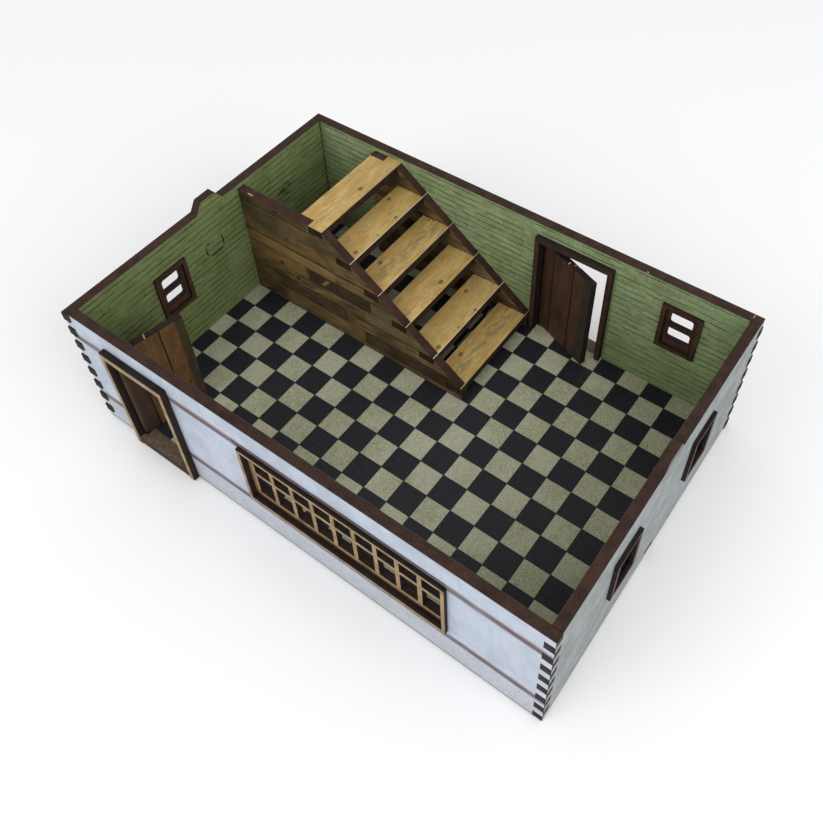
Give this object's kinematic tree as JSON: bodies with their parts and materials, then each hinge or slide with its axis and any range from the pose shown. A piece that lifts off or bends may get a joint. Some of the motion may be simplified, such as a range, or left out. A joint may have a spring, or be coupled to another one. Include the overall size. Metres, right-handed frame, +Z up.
{
  "type": "miniature terrain house storey",
  "caption": "Roofless ground storey of a miniature sheet-wood house for tabletop games, with chequered floor, open stairs, swinging doors and framed windows.",
  "frame": {"origin": "on the table, under the middle of the whole building", "axes": "+X along the long walls to the right seen from the street, +Y from the street wall to the rear wall, +Z up"},
  "size_m": [0.1744, 0.1212, 0.057],
  "materials": {
    "chequer_print": "satin print",
    "plaster_print": "matt print",
    "plank_print": "satin print",
    "pine_print": "satin print",
    "door_print": "satin print",
    "frame_brown": "matt, laser-browned edges",
    "sash_tan": "matt, laser-browned edges"
  },
  "bodies": {
    "building": {"floor_panel": "chequer_print", "front_wall": "plaster_print", "back_wall": "plaster_print", "left_wall": "plaster_print", "right_wall": "plaster_print", "stair_front_panel": "plank_print", "stair_back_panel": "plank_print", "stair_tread_1": "pine_print", "stair_tread_2": "pine_print", "stair_tread_3": "pine_print", "stair_tread_4": "pine_print", "stair_tread_5": "pine_print", "stair_tread_6": "pine_print", "front_door_outer_frame": "frame_brown", "front_door_inner_frame": "frame_brown", "back_door_outer_frame": "frame_brown", "back_door_inner_frame": "frame_brown", "long_window_outer_frame": "frame_brown", "long_window_sash": "sash_tan", "long_window_inner_frame": "frame_brown", "left_window_outer_frame": "frame_brown", "left_window_sash": "sash_tan", "left_window_inner_frame": "frame_brown", "back_window_outer_frame": "frame_brown", "back_window_sash": "sash_tan", "back_window_inner_frame": "frame_brown", "right_near_window_outer_frame": "frame_brown", "right_near_window_sash": "sash_tan", "right_near_window_inner_frame": "frame_brown", "right_far_window_outer_frame": "frame_brown", "right_far_window_sash": "sash_tan", "right_far_window_inner_frame": "frame_brown"},
    "front_door_leaf": {"front_door": "door_print"},
    "back_door_leaf": {"back_door": "door_print"}
  },
  "joints": [
    {"name": "front_door_hinge", "type": "hinge", "parent": "building", "child": "front_door_leaf", "pos_m": [-0.0677, -0.05725, 0], "axis": [0, 0, 1], "range_deg": [-78, 12]},
    {"name": "back_door_hinge", "type": "hinge", "parent": "building", "child": "back_door_leaf", "pos_m": [0.01395, 0.05725, 0], "axis": [0, 0, 1], "range_deg": [-70, 20]}
  ]
}
